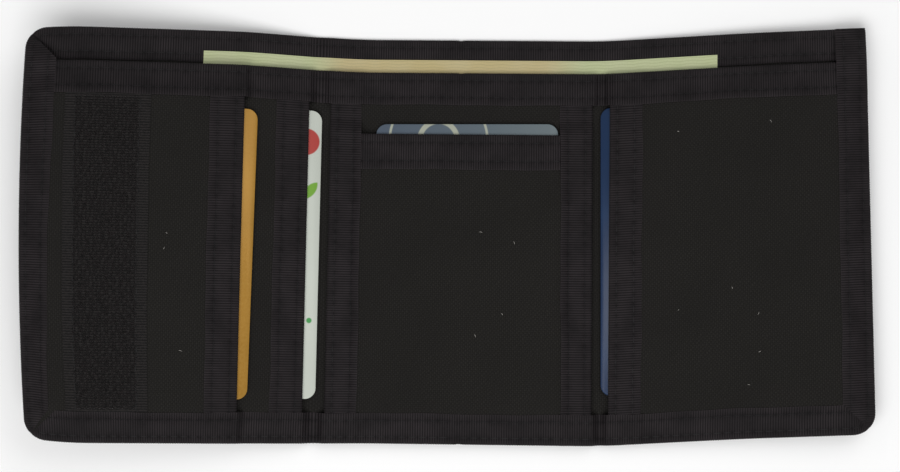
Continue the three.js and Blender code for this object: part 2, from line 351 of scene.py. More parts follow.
class Layer:
    """A sheet of the pile. It sinks where it is sewn, and stands up a little in between."""

    def __init__(self, node, below, sewn, lift=0.0):
        self.z0, self.z1 = BOX[node].z0, BOX[node].z1
        self.below = below
        self.sewn = sewn
        self.lift = lift
        self.room = max(0.0, self.z0 - below.z1 - KEPT_ROOM) if below else 0.0

    def held(self, x, y):
        """1 where the layer is sewn down, 0 where it is free."""
        free = 1.0 + 0 * x
        for seam in self.sewn:
            free = free * (1 - seam(x, y))
        return 1 - free

    def sunk(self, x, y):
        if self.below is None:
            return 0 * x
        return self.below.sunk(x, y) + self.room * PINCH * self.held(x, y)

    def change(self, x, y):
        return self.lift * wave(x, y) * (1 - self.held(x, y)) - self.sunk(x, y)

    def top(self, x, y):
        return self.z1 + self.change(x, y)

    def low(self, x, y):
        return self.z0 + self.change(x, y)


COVER = Layer("middle_cover", None, [side, foot, brow], 0.25)
DIVIDER = Layer("middle_divider", COVER, [side, foot])
INNER = Layer("inner_pocket_front", DIVIDER, [side, foot, head])
OUTER = Layer("outer_pocket_front", INNER, [side, foot, head], 0.3)
RIGHT_FRONT = Layer("right_pocket_front", DIVIDER, [side, foot, head], 0.16)
CENTRE_PANEL = Layer("centre_panel", DIVIDER, [centre_edges, foot, head])
CENTRE_FRONT = Layer("centre_pocket_front", CENTRE_PANEL, [centre_edges, foot], 0.12)

STEP = 2.4  # a long tape takes this far to come down from a pocket's edge
SOFT_STEP = 4.5  # the run of the step where an upright tape crosses another


def step_down(distance, run=STEP):
    return 1 - smooth(distance / run)


def window(t, low, high, soft=1.2):
    """1 between low and high, falling to 0 just outside them."""
    return smooth((t - low + soft) / soft) * smooth((high + soft - t) / soft)


def centre_pile(x, y):
    """The centre panel with its pocket, which ends below the divider's tape."""
    pocket = step_down(y - BOX["centre_pocket_tape"].y1, SOFT_STEP)
    return pocket * CENTRE_FRONT.top(x, y) + (1 - pocket) * CENTRE_PANEL.top(x, y)


def pile(x, y):
    """Top of all the sheets under a long tape, with soft steps at the free edges of the pockets."""
    base = DIVIDER.top(x, y)
    inner = INNER.top(x, y) - base
    outer = OUTER.top(x, y) - INNER.top(x, y)
    right = RIGHT_FRONT.top(x, y) - base
    centre = centre_pile(x, y) - base
    height = base + inner * step_down(x - LEFT_MOUTH) + outer * step_down(x - OUTER_MOUTH)
    height = height + right * step_down(RIGHT_MOUTH - x)
    return height + centre * step_down(x - CENTRE_RIGHT) * step_down(CENTRE_LEFT - x)


UPRIGHTS = [
    f"{place}_tape"
    for place in ("outer_pocket", "inner_pocket", "centre_left", "centre_right", "right_pocket")
]


def over_uprights(x):
    """Extra height where a long tape crosses the ends of the upright tapes."""
    return TAPE_ROOM * np.max([window(x, BOX[n].x0, BOX[n].x1) for n in UPRIGHTS], axis=0)


def long_front(x, y):
    return pile(x, y) + over_uprights(x) + TAPE_ROOM


PLEAT_HEIGHT, PLEAT_PITCH, PLEAT_REACH = 0.3, 1.7, 3.2
PLEATS_FROM_MOUTH = 1.0


def divider_front(x, y):
    """The divider's tape is creased in a few pleats over the right fold."""
    from_fold = x - RIGHT_MOUTH + PLEATS_FROM_MOUTH
    pleats = np.sin(2 * math.pi * from_fold / PLEAT_PITCH)
    return long_front(x, y) + PLEAT_HEIGHT * pleats * np.exp(-((from_fold / PLEAT_REACH) ** 2))


def under_side_front(x, y):
    """What a side's tape lies on: the pile of pockets below, and the bare cover above the divider."""
    above = smooth((y - DIVIDER_TOP) / (COVER_TOP - DIVIDER_TOP))
    crossing = window(y, DIVIDER_TOP - BOX["middle_divider_tape"].height, DIVIDER_TOP - 0.5)
    lower = pile(x, y) + TAPE_ROOM * crossing
    return lower * (1 - above) + COVER.top(x, y) * above


def left_side_front(x, y):
    return under_side_front(x, y) + TAPE_ROOM


def at_top_binding(y):
    return window(y, COVER_TOP - BINDING, COVER_TOP + BINDING)


def right_side_front(x, y):
    """The right side's tape lies over the cut end of the top tape."""
    return under_side_front(x, y) + TAPE_ROOM * (1 + at_top_binding(y))


def right_side_back(x, y):
    return -TAPE_ROOM * at_top_binding(y) + 0 * x


def ground(x, y):
    return 0 * x


def over(layer):
    return lambda x, y: layer.top(x, y) + TAPE_ROOM


def under(layer):
    return lambda x, y: layer.low(x, y) - TAPE_ROOM


def centre_side_front(x, y):
    pocket_tape = BOX["centre_pocket_tape"]
    crossing = window(y, pocket_tape.y0, pocket_tape.y1, SOFT_STEP)
    return centre_pile(x, y) + TAPE_ROOM * (1 + crossing)


# ---------------- materials


class Shader:
    """A Principled material and short ways to add nodes to it."""

    def __init__(self, name, roughness, specular=0.5):
        self.material = bpy.data.materials.new(name)
        self.material.use_nodes = True
        self.tree = self.material.node_tree
        self.surface = self.tree.nodes["Principled BSDF"]
        self.surface.inputs["Roughness"].default_value = roughness
        self.surface.inputs["Specular IOR Level"].default_value = specular

    def put(self, value, socket):
        if isinstance(value, (int, float)):
            socket.default_value = value
        elif isinstance(value, tuple):
            socket.default_value = (*value, 1)[: len(socket.default_value)]
        else:
            self.tree.links.new(value, socket)

    def math(self, operation, a, b=0.0, c=0.0):
        node = self.tree.nodes.new("ShaderNodeMath")
        node.operation = operation
        for value, socket in zip((a, b, c), node.inputs):
            self.put(value, socket)
        return node.outputs[0]

    def times(self, a, b):
        return self.math("MULTIPLY", a, b)

    def ripple(self, value, pitch, form="SINE"):
        return self.math(form, self.times(value, 2 * math.pi / pitch))

    def attribute(self, name):
        """A stored vector, and its three numbers."""
        node = self.tree.nodes.new("ShaderNodeAttribute")
        node.attribute_name = name
        split = self.tree.nodes.new("ShaderNodeSeparateXYZ")
        self.tree.links.new(node.outputs["Vector"], split.inputs[0])
        return node.outputs["Vector"], split.outputs[0], split.outputs[1], split.outputs[2]

    def noise(self, vector, scale, detail=3.0, rough=0.5):
        node = self.tree.nodes.new("ShaderNodeTexNoise")
        self.tree.links.new(vector, node.inputs["Vector"])
        for key, value in (("Scale", scale), ("Detail", detail), ("Roughness", rough)):
            node.inputs[key].default_value = value
        return node.outputs["Fac"]

    def span(self, value, low, high, to_low=0.0, to_high=1.0, smooth_ends=False):
        node = self.tree.nodes.new("ShaderNodeMapRange")
        if smooth_ends:
            node.interpolation_type = "SMOOTHSTEP"
        for number, socket in zip((value, low, high, to_low, to_high), node.inputs):
            self.put(number, socket)
        return node.outputs[0]

    def mix(self, share, a, b):
        node = self.tree.nodes.new("ShaderNodeMix")
        node.data_type = "RGBA"
        self.put(share, node.inputs["Factor"])
        self.put(a, node.inputs["A"])
        self.put(b, node.inputs["B"])
        return node.outputs["Result"]

    def colour(self, value):
        self.put(value, self.surface.inputs["Base Color"])

    def rough(self, value):
        self.put(value, self.surface.inputs["Roughness"])

    def sheen(self, weight):
        self.surface.inputs["Sheen Weight"].default_value = weight

    def bump(self, height, distance, strength=1.0):
        node = self.tree.nodes.new("ShaderNodeBump")
        node.inputs["Distance"].default_value = distance
        node.inputs["Strength"].default_value = strength
        self.tree.links.new(height, node.inputs["Height"])
        self.tree.links.new(node.outputs[0], self.surface.inputs["Normal"])


def plain_material(name, colour, roughness):
    shader = Shader(name, roughness)
    shader.colour(colour)
    return shader.material


THREAD_PITCH = 0.6  # of the woven nylon
RIB_PITCH = 0.72  # of the grosgrain tape
CROSS_THREAD = 0.32  # pitch of the fine threads across its ribs


def thread_profile(shader, across, along, cell, shift):
    """Height of one set of threads: round across, and up and down along, over and under the others."""
    round_top = shader.math("SINE", shader.times(across, math.pi))
    round_top = shader.math("ABSOLUTE", round_top)
    phase = shader.math("ADD", shader.math("SUBTRACT", along, 0.5 - shift), cell)
    weaving = shader.math("COSINE", shader.times(phase, math.pi))
    weaving = shader.math("MULTIPLY_ADD", weaving, 0.5, 0.5)
    return shader.times(round_top, weaving)


def nylon_material():
    """Plain-woven nylon: over-and-under threads, with slight streaks from thread to thread. Its colour holds a
    painted highlight on the thread crowns and painted shade in the gaps.
    """
    shader = Shader("woven_nylon", 0.62, 0.12)
    flat, x, y, _ = shader.attribute("flat")
    wobble = shader.noise(flat, 0.7, 2)
    u = shader.math("MULTIPLY_ADD", wobble, 0.9, shader.math("DIVIDE", x, THREAD_PITCH))
    v = shader.math("MULTIPLY_ADD", wobble, -0.9, shader.math("DIVIDE", y, THREAD_PITCH))
    warp = thread_profile(shader, u, v, shader.math("FLOOR", u), 0.0)
    weft = thread_profile(shader, v, u, shader.math("FLOOR", v), 1.0)
    height = shader.math("MAXIMUM", warp, weft)
    # Painted highlight on the thread crowns and painted shade in the gaps between them, stronger on the warp than
    # on the weft.
    painted_weave_light = shader.math("MULTIPLY_ADD", weft, 0.35, shader.times(warp, 0.9))
    uneven_light = shader.noise(flat, 0.05, 2)
    fibre = shader.noise(flat, 3.2, 3, 0.7)
    tone = shader.times(painted_weave_light, shader.span(fibre, 0.3, 0.7, 0.5, 1.3))
    tone = shader.times(tone, shader.span(uneven_light, 0.3, 0.7, 0.8, 1.15))
    shader.colour(shader.mix(tone, (0.0042, 0.0037, 0.0031), (0.0166, 0.0152, 0.0132)))
    shader.rough(shader.span(fibre, 0.2, 0.8, 0.5, 0.8))
    shader.bump(height, 0.00012, 0.9)
    shader.sheen(0.02)
    shader.surface.inputs["Sheen Roughness"].default_value = 0.5
    return shader.material


def grosgrain_material():
    """Ribbed tape: the ribs are modelled, and this adds their fine cross threads and tone: a painted highlight on
    the rib crowns, painted shade along the stitch grooves, and a lighter inner edge.
    """
    shader = Shader("grosgrain_tape", 0.6, 0.12)
    weave, along, across, lighter_edge_and_stitch_shade = shader.attribute("weave")
    # Painted highlight on each rib's crown and painted shade between the ribs, on top of the modelled ribs.
    rib = shader.ripple(along, RIB_PITCH, "COSINE")
    rib = shader.math("MULTIPLY_ADD", rib, 0.5, 0.5)
    thread = shader.ripple(across, CROSS_THREAD)
    patchy = shader.noise(weave, 0.11, 3)
    grain = shader.noise(weave, 2.4, 3, 0.7)
    tone = shader.times(rib, shader.span(patchy, 0.35, 0.65, 0.5, 1.1))
    tone = shader.times(tone, shader.span(grain, 0.3, 0.7, 0.75, 1.15))
    # Lighter along the tape's inner edge, and painted shade where the stitches draw the tape in.
    tone = shader.math("MULTIPLY_ADD", lighter_edge_and_stitch_shade, 0.32, tone)
    shader.colour(shader.mix(tone, (0.003, 0.0022, 0.0026), (0.0242, 0.0196, 0.0215)))
    shader.rough(shader.span(grain, 0.2, 0.8, 0.5, 0.8))
    shader.bump(shader.math("MULTIPLY_ADD", thread, 0.3, grain), 0.00005, 0.7)
    shader.sheen(0.02)
    return shader.material


def fibre_material(name, roughness, specular, grain, dark, light, bump=(0.0, 0.0)):
    """Fine fibres: one noise between a dark and a light tone. bump is a distance and a strength."""
    shader = Shader(name, roughness, specular)
    tint = shader.noise(shader.attribute("flat")[0], *grain)
    shader.colour(shader.mix(tint, dark, light))
    if bump[0]:
        shader.bump(tint, *bump)
    return shader


def hook_material():
    shader = Shader("nylon_hooks", 0.3, 0.6)
    place, _, _, _ = shader.attribute("flat")
    tint = shader.span(shader.noise(place, 0.9, 3, 0.7), 0.4, 0.62)
    shader.colour(shader.mix(tint, (0.0011, 0.0009, 0.0009), (0.0215, 0.0172, 0.0182)))
    shader.rough(shader.span(tint, 0.0, 1.0, 0.5, 0.28))
    return shader.material


def loop_material():
    tones = (0.004, 0.004, 0.0044), (0.022, 0.021, 0.023)
    shader = fibre_material("brushed_loops", 0.8, 0.1, (1.6, 4, 0.7), *tones, (0.0003, 0.8))
    shader.sheen(0.1)
    return shader.material


def thread_material():
    tones = (0.004, 0.004, 0.004), (0.014, 0.013, 0.014)
    return fibre_material("sewing_thread", 0.5, 0.2, (5.0, 2), *tones, (0.00003, 0.6)).material


def lint_material():
    tones = (0.12, 0.11, 0.1), (0.5, 0.48, 0.45)
    return fibre_material("lint", 0.8, 0.2, (4.0, 2), *tones).material


def hook_ground_material():
    """The ground of the hook strip: a close, flat weave with fine cross ribs."""
    shader = Shader("hook_ground", 0.6, 0.15)
    place, _, y, _ = shader.attribute("flat")
    ribs = shader.ripple(y, HOOK_PITCH[1])
    grain = shader.noise(place, 2.2, 3, 0.7)
    tone = shader.math("MULTIPLY_ADD", ribs, 0.5, shader.span(grain, 0.35, 0.65, 0.05, 0.95))
    # Its tones are set dark partly as the strip's own colour and partly as painted shade under the hooks; the bare
    # selvedges take the same colour.
    shader.colour(shader.mix(tone, (0.0006, 0.0005, 0.0005), (0.0145, 0.012, 0.0116)))
    shader.bump(shader.math("MULTIPLY_ADD", ribs, 0.5, grain), 0.00012, 0.9)
    return shader.material


class Print(Shader):
    """A card's or note's printed face, drawn in millimetres from its middle."""

    def __init__(self, name, roughness, specular=0.3):
        super().__init__(name, roughness, specular)
        self.vector, self.x, self.y, _ = self.attribute("print")

    def distance(self, x, y):
        dx = self.math("SUBTRACT", self.x, x)
        dy = self.math("SUBTRACT", self.y, y)
        square = self.times(dy, dy)
        square = self.math("MULTIPLY_ADD", dx, dx, square)
        return self.math("SQRT", square)

    def disc(self, x, y, radius):
        return self.span(self.distance(x, y), radius - 0.15, radius + 0.15, 1, 0)

    def ring(self, x, y, radius, width):
        off = self.math("SUBTRACT", self.distance(x, y), radius)
        off = self.math("ABSOLUTE", off)
        return self.span(off, width / 2 - 0.12, width / 2 + 0.12, 1, 0)

    def finish(self, colour):
        self.colour(colour)
        return self.material


def gold_print():
    card = Print("gold_card_print", 0.36)
    grain = card.noise(card.vector, 1.2, 4, 0.7)
    broad = card.noise(card.vector, 0.035, 2)
    base = card.mix(card.span(broad, 0.3, 0.7), (0.33, 0.165, 0.022), (0.42, 0.215, 0.034))
    base = card.mix(card.span(grain, 0.35, 0.65, 0, 0.25), base, (0.5, 0.3, 0.07))
    for radius in (14, 18, 22):
        base = card.mix(card.ring(-14, -24, radius, 0.5), base, (0.26, 0.12, 0.016))
    card.rough(card.span(grain, 0.3, 0.7, 0.28, 0.42))
    card.surface.inputs["Metallic"].default_value = 0.25
    return card.finish(base)


def white_print():
    card = Print("white_card_print", 0.4)
    tone = card.noise(card.vector, 0.05, 2)
    base = card.mix(tone, (0.50, 0.535, 0.475), (0.59, 0.62, 0.56))
    base = card.mix(card.disc(22.5, 33.5, 3.9), base, (0.42, 0.045, 0.035))
    leaf = card.times(card.disc(26, 17.5, 4.0), card.disc(21.5, 21.0, 4.6))
    base = card.mix(leaf, base, (0.16, 0.36, 0.03))
    base = card.mix(card.disc(24.5, -19.5, 0.8), base, (0.07, 0.3, 0.09))
    base = card.mix(card.ring(-4, 4, 15, 1.2), base, (0.35, 0.5, 0.36))
    return card.finish(base)


def blue_print():
    card = Print("blue_card_print", 0.3)
    tone = card.noise(card.vector, 0.06, 3)
    base = card.mix(card.span(tone, 0.3, 0.7), (0.006, 0.021, 0.066), (0.012, 0.037, 0.098))
    base = card.mix(card.span(card.y, -43, 43, 0, 0.5), base, (0.006, 0.019, 0.055))
    for radius in (16, 24, 32):
        base = card.mix(card.ring(27, -43, radius, 2.0), base, (0.035, 0.07, 0.14))
    return card.finish(base)


def grey_print():
    card = Print("grey_card_print", 0.34)
    base = card.mix(card.span(card.x, -25, 25), (0.078, 0.102, 0.138), (0.125, 0.158, 0.172))
    for ring in ((-8.5, 38.0, 5.6, 1.5), (-8.5, 38.0, 14.5, 0.7), (16, -14, 17, 2.0)):
        base = card.mix(card.ring(*ring), base, (0.37, 0.39, 0.32))
    return card.finish(base)


def banknote_print():
    """Green at the ends, yellow in the middle, with fine wavy engraving."""
    note = Print("banknote_print", 0.75, 0.2)
    green, yellow = (0.45, 0.495, 0.285), (0.475, 0.39, 0.195)
    from_left = note.span(note.x, -46, -34, smooth_ends=True)
    from_right = note.span(note.x, 38, 24, smooth_ends=True)
    base = note.mix(note.times(from_left, from_right), green, yellow)
    wavy = note.math("SINE", note.times(note.x, 0.9))
    lines = note.math("MULTIPLY_ADD", wavy, 0.8, note.times(note.y, 7.0))
    lines = note.span(note.math("SINE", lines), 0.2, 0.9, 0, 0.22)
    base = note.mix(lines, base, (0.16, 0.17, 0.09))
    fibres = note.noise(note.vector, 2.5, 3, 0.7)
    base = note.mix(note.span(fibres, 0.35, 0.7, 0, 0.2), base, (0.2, 0.18, 0.1))
    broad = note.noise(note.vector, 0.12, 2)
    base = note.mix(note.span(broad, 0.35, 0.7, 0, 0.18), base, (0.52, 0.5, 0.38))
    note.bump(fibres, 0.00003, 0.5)
    return note.finish(base)


# ---------------- meshes


def merged(points, faces):
    """Points that coincide made one, and the faces that this flattens dropped."""
    keys = np.round(points * 1e4).astype(np.int64)
    _, first, index = np.unique(keys, axis=0, return_index=True, return_inverse=True)
    index = index.reshape(-1)
    kept = []
    seen = set()
    for face in faces:
        ring = [int(index[p]) for p in face]
        ring = [p for i, p in enumerate(ring) if p != ring[i - 1]]
        key = frozenset(ring)
        if len(key) >= 3 and len(key) == len(ring) and key not in seen:
            seen.add(key)
            kept.append(ring)
    return first, kept


def make_mesh(name, points, faces, material, attributes):
    """A smooth-shaded mesh object. points are in millimetres at rest; attributes are per point."""
    data = bpy.data.meshes.new(name)
    data.from_pydata((points * MM).tolist(), [], [list(f) for f in faces])
    for key, values in attributes.items():
        stored = data.attributes.new(key, "FLOAT_VECTOR", "POINT")
        stored.data.foreach_set("vector", np.asarray(values, np.float32).ravel())
    data.materials.append(material)
    data.validate()
    data.shade_smooth()
    data.set_sharp_from_angle(angle=math.radians(50))
    return placed(name, data)


def grid_faces(index):
    """Four-sided faces between neighbours in a table of point numbers."""
    quads = np.stack([index[:-1, :-1], index[:-1, 1:], index[1:, 1:], index[1:, :-1]], -1)
    return quads.reshape(-1, 4)


def even_steps(low, high, step):
    return np.linspace(low, high, max(2, int(round((high - low) / step)) + 1))


SHEET_GRID = 1.3
BENT_GRID = 0.2  # finer where the cloth bends round a fold


def steps_across(low, high):
    """Places across a sheet, close together in the gutters, which bend right round."""
    places = [even_steps(low, high, SHEET_GRID)]
    for inner, outer in ((CENTRE_LEFT, LEFT_MOUTH), (CENTRE_RIGHT, RIGHT_MOUTH)):
        bent = even_steps(min(inner, outer), max(inner, outer), BENT_GRID)
        places = [p[(p < bent[0] - BENT_GRID) | (p > bent[-1] + BENT_GRID)] for p in places]
        places.append(bent[(bent > low) & (bent < high)])
    return np.unique(np.concatenate([[low, high], *places]))


def stacked(*parts):
    """Points from arrays of x, y and z that may be given for whole rows or columns at once."""
    return np.stack(np.broadcast_arrays(*parts), -1)


def shell(x, y, low, top):
    """A closed sheet over the grid x by y, between the heights low and top."""
    gx, gy = np.meshgrid(x, y)
    upper = stacked(gx, gy, top(gx, gy)).reshape(-1, 3)
    lower = stacked(gx, gy, low(gx, gy)).reshape(-1, 3)
    count = gx.size
    index = np.arange(count).reshape(gx.shape)
    faces = [grid_faces(index), grid_faces(index + count)[:, ::-1]]
    rim = np.concatenate([index[0], index[1:, -1], index[-1, -2::-1], index[-2:0:-1, 0]])
    after = np.roll(rim, -1)
    faces.append(np.stack([rim, rim + count, after + count, after], -1))
    return np.concatenate([upper, lower]), np.concatenate(faces)


def make_sheet(name, x, y, heights, where, material, slot, nodes):
    """A nylon sheet or strip over the grid x by y, laid, and in place of the CAD nodes."""
    points, faces = shell(x, y, *heights)
    if slot in ("hooks", "loops"):
        points[:, 0] += waver(points[:, 1], x[0]) * STRIP_WAVER / WAVER
    piece = make_mesh(name, laid(points, where), faces, material, {"flat": points})
    follow(piece, where)
    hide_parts(*nodes)


# ---- tape, folded in half over an edge

RIB = 0.06  # half the height of a rib
FOLD_ROUND = 0.8
END_DIP, DIP_RUN = 0.16, 1.3
STITCH_PITCH = 3.0
ROWS = (0.24, 0.76)  # where the two rows of stitches run, as shares of the tape's width
GROOVE, GROOVE_REACH = 0.2, 0.5  # how deep and how wide the stitches draw the tape in
CROWN = 0.04
SELVEDGE, SELVEDGE_DROP = 0.35, 0.08
WAVER = 0.19  # the tape's edge isn't quite straight
STRIP_WAVER = 0.1
LEG = (1, 0.97, 0.9, 0.81, 0.785, 0.76, 0.735, 0.71, 0.62, 0.5, 0.38, 0.29, 0.265, 0.24, 0.215, 0.19)
TURN_POINTS = 8
INNER_STEP = 3  # the hidden inside of the fold has one point for so many of the outside


def tape_section(width, fold_round):
    """Points round the folded tape: distance from the folded edge, front share, and facing."""
    leg = np.array(LEG) * width
    front = [(d, 1.0, 0.0, 1.0) for d in leg]
    back = [(d, 0.0, 0.0, -1.0) for d in leg[::-1]]
    turn = np.linspace(0, math.pi, TURN_POINTS)
    bend = [
        (fold_round * (1 - math.sin(a)), (1 + math.cos(a)) / 2, -math.sin(a), math.cos(a))
        for a in turn
    ]
    return np.array(front + bend + back)


def drawn_in(s, d, width):
    """How far the tape's surface is drawn in along its stitches."""
    pull = 0.65 + 0.35 * np.cos(2 * math.pi * s / STITCH_PITCH)
    return GROOVE * sum(pull * np.exp(-(((d - row * width) / GROOVE_REACH) ** 2)) for row in ROWS)


def waver(s, seed):
    return WAVER * (0.6 * np.sin(s / 7.3 + seed) + 0.4 * np.sin(s / 2.9 + 2.1 * seed))


class Edge:
    """The straight edge that a tape is folded over: which side it is on, and where."""

    def __init__(self, facing, place):
        self.facing = facing
        self.place = place

    def flat(self, s, d):
        """x and y at the place s along the edge and d in from it."""
        across = self.place + (d if self.facing in ("bottom", "left") else -d)
        return (s, across) if self.facing in ("top", "bottom") else (across, s)


class Tape:
    """A run of grosgrain tape folded over an edge. front and back give the heights of its two faces.
    mitres are 1 at an end that is cut at 45 degrees."""

    def __init__(self, name, edge, run, width, front, back, where, mitres=(0, 0), crown=CROWN, taper=0):
        self.name, self.edge, self.run, self.width = name, edge, run, width
        self.front, self.back, self.where, self.mitres = front, back, where, mitres
        self.crown, self.taper = crown, taper
        self.seed = 0.37 * edge.place

    def ends(self, d):
        return self.run[0] + self.mitres[0] * d, self.run[1] - self.mitres[1] * d

    def along(self, s, d):
        """s kept within the run, which is shorter at distance d from a mitred corner."""
        return np.clip(s, *self.ends(d))

    def end_dip(self, place, d):
        """A tape thins a little towards its cut or mitred ends."""
        low, high = self.ends(d)
        return END_DIP * (1 - smooth(np.minimum(place - low, high - place) / DIP_RUN))

    def surface(self, s, d, share, out_d, out_z, lift):
        """A point of the tape's surface, lifted off its middle line by lift."""
        place = self.along(s, d)
        narrower = self.taper * smooth((self.run[1] - place) / (self.run[1] - self.run[0]))
        across = d + out_d * lift + (waver(place, self.seed) - narrower) * d / self.width
        x, y = self.edge.flat(place, across)
        low = self.back(x, y)
        z = low + (self.front(x, y) - low) * share + out_z * lift
        return stacked(x, y, z)

    def skin(self, rows, s, inside):
        d, share, out_d, out_z = (rows[:, i][:, None] for i in range(4))
        place = self.along(s[None, :], d)
        selvedge = smooth((d - self.width + SELVEDGE) / SELVEDGE)
        sunk = drawn_in(place, d, self.width)
        lift = -TAPE + 0 * place
        if not inside:
            flat_part = np.abs(2 * share - 1) ** 4
            crown = self.crown * (1 - (2 * d / self.width - 1) ** 2) * share**4
            ribs = RIB * np.cos(2 * math.pi * place / RIB_PITCH) - RIB
            lift = ribs + crown - sunk * flat_part - SELVEDGE_DROP * selvedge - self.end_dip(place, d)
        points = self.surface(s[None, :], d, share, out_d, out_z, lift)
        # For the tape's colour: lighter along its inner edge, and painted shade along the stitch grooves.
        tone = selvedge - sunk / GROOVE
        return points, stacked(place, d + self.width * (1 - share), tone)

    def end_caps(self, index, inner_count):
        """Faces over the thickness of the tape at its two cut ends."""
        caps = []
        last = len(index) - 1
        for column, order in ((0, 1), (-1, -1)):
            for k in range(inner_count - 1):
                cap = [index[INNER_STEP * k + i, column] for i in range(INNER_STEP + 1)]
                cap += [index[last - 1 - k, column], index[last - k, column]]
                caps.append([int(p) for p in cap][::order])
        return caps

    def make(self, *nodes):
        """The tape as one closed mesh, in place of the CAD nodes."""
        step = RIB_PITCH / 3
        inside = np.arange(math.ceil(self.run[0] / step), self.run[1] / step) * step
        s = np.unique(np.concatenate([[self.run[0]], inside, [self.run[1]]]))
        section = tape_section(self.width, FOLD_ROUND)
        outer, outer_weave = self.skin(section, s, False)
        inner, inner_weave = self.skin(section[::INNER_STEP], s, True)
        loop = np.concatenate([outer, inner[::-1]])
        weave = np.concatenate([outer_weave, inner_weave[::-1]])
        index = np.arange(loop.shape[0] * len(s)).reshape(loop.shape[0], len(s))
        faces = grid_faces(np.concatenate([index, index[:1]])).tolist()
        faces += self.end_caps(index, len(inner))
        if self.edge.facing in ("bottom", "right"):
            faces = [f[::-1] for f in faces]
        flat = loop.reshape(-1, 3)
        first, faces = merged(flat, faces)
        flat = flat[first]
        stored = {"flat": flat, "weave": weave.reshape(-1, 3)[first]}
        piece = make_mesh(self.name, laid(flat, self.where), faces, GROSGRAIN, stored)
        follow(piece, self.where)
        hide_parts(*nodes)

    def stitch_lines(self):
        """Flat middles of the stitches on both faces: place along, distance, front share, facing."""
        first = math.ceil(self.run[0] / STITCH_PITCH)
        middles = (np.arange(first, self.run[1] / STITCH_PITCH - 1) + 0.5) * STITCH_PITCH
        for row in ROWS:
            d = row * self.width
            low, high = self.ends(d)
            held = middles[(middles > low + 1) & (middles < high - 1)]
            yield held, d, 1.0, 1.0
            yield held, d, 0.0, -1.0

    def stitches(self):
        """The threads of this tape's seams: rings of points, one capsule to a stitch."""
        made = []
        turn = turns(STITCH_SIDES)
        for middles, d, share, facing in self.stitch_lines():
            s = middles[:, None, None] + STITCH_REACH
            away = d + STITCH_RADIUS * np.cos(turn)
            around = STITCH_RADIUS * np.sin(turn) * facing
            lift = self.crown * 0.5 * share - GROOVE + STITCH_SAG + around
            made.append(self.surface(s, away, share, 0.0, facing, lift))
        return made


HALF_STITCH = 1.25
STITCH_REACH = np.array([-1.25, -1.1, -0.9, -0.6, -0.3, 0.0, 0.3, 0.6, 0.9, 1.1, 1.25])[:, None]
STITCH_RADIUS = 0.13 - 0.08 * np.abs(STITCH_REACH / HALF_STITCH) ** 6
STITCH_SAG = 0.04 - 0.14 * np.abs(STITCH_REACH / HALF_STITCH) ** 4
STITCH_SIDES = 5


def capsules(rings):
    """Closed tubes through rings of points, as (tubes, rings, sides, 3)."""
    tubes, rows, sides, _ = rings.shape
    index = np.arange(tubes * rows * sides).reshape(tubes, rows, sides)
    after = np.roll(index, -1, axis=2)
    quads = np.stack([index[:, :-1], index[:, 1:], after[:, 1:], after[:, :-1]], -1)
    faces = quads.reshape(-1, 4).tolist()
    faces += index[:, 0, :].tolist()
    faces += index[:, -1, ::-1].tolist()
    return rings.reshape(-1, 3), faces


def turns(sides):
    return np.linspace(0, 2 * math.pi, sides, endpoint=False)


def make_tubes(name, rings, where, material):
    """Small tubes, such as stitches or hooks, as one piece."""
    points, faces = capsules(rings)
    piece = make_mesh(name, laid(points, where), faces, material, {"flat": points})
    follow(piece, where)


def sew(name, tapes):
    """All the thread of the tapes that move alike, as one piece."""
    rings = np.concatenate([part for tape in tapes for part in tape.stitches()])
    make_tubes(name, rings, tapes[0].where, THREAD)


# ---- hook and loop

STRIP_THICK = 0.25
HOOK_MARGINS = (3.4, 2.6)  # bare selvedges of the strip, outer and inner
END_MARGINS = (1.0, 0.6)
SEAM_OFFSETS = (0.4, 0.5)  # of the strip's two seams from the hooks' ends, outer and inner
STRIP_STITCH = 2.8
STRIP_GRID = (0.6, 0.8)
HOOK_PITCH = (1.05, 0.76)
HOOK_PATH = ((0, 0), (0.05, 0.22), (0.0, 0.36), (-0.26, 0.44), (-0.5, 0.36), (-0.54, 0.26))
HOOK_WIRE = (0.16, 0.14, 0.14, 0.13, 0.11, 0.06)
HOOK_SIDES = 4
HOOK_SCATTER = (0.12, 0.03)  # how unevenly the hooks stand, across and up
HOOK_LEAN = (0.7, 1.2)
HOOK_SLANT = 0.1
HOOK_TALL = (0.7, 1.1)
SEAM_DRIFT = 0.12


def make_strip(name, node, heights, where, material, slot):
    box = BOX[node]
    x = even_steps(box.x0, box.x1, STRIP_GRID[0])
    y = even_steps(box.y0, box.y1, STRIP_GRID[1])
    make_sheet(name, x, y, heights, where, material, slot, [node])


